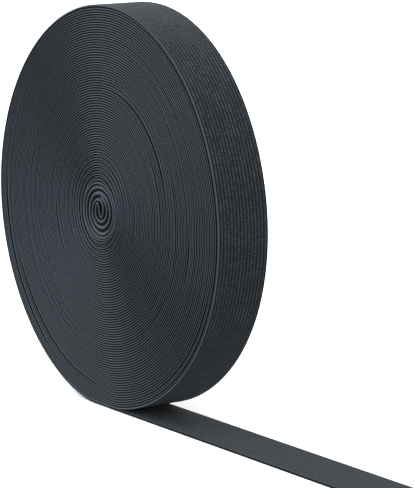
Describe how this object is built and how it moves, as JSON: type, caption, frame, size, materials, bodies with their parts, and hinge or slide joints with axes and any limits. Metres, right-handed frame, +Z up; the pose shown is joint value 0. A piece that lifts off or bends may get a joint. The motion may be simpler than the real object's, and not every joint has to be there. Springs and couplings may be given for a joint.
{
  "type": "reel of elastic tape",
  "caption": "Flat black elastic tape wound into an upright roll, with its loose end lying straight out from the foot.",
  "frame": {"origin": "on the resting surface, under the middle of the roll and midway across the tape", "axes": "+X out along the loose end, +Y along the roll's axis away from its front face, +Z up"},
  "size_m": [0.295, 0.0275, 0.1791],
  "materials": {
    "wound_elastic": "matt",
    "loose_elastic": "matt"
  },
  "bodies": {
    "root": {"wound_roll": "wound_elastic", "loose_end": "loose_elastic"}
  },
  "joints": []
}
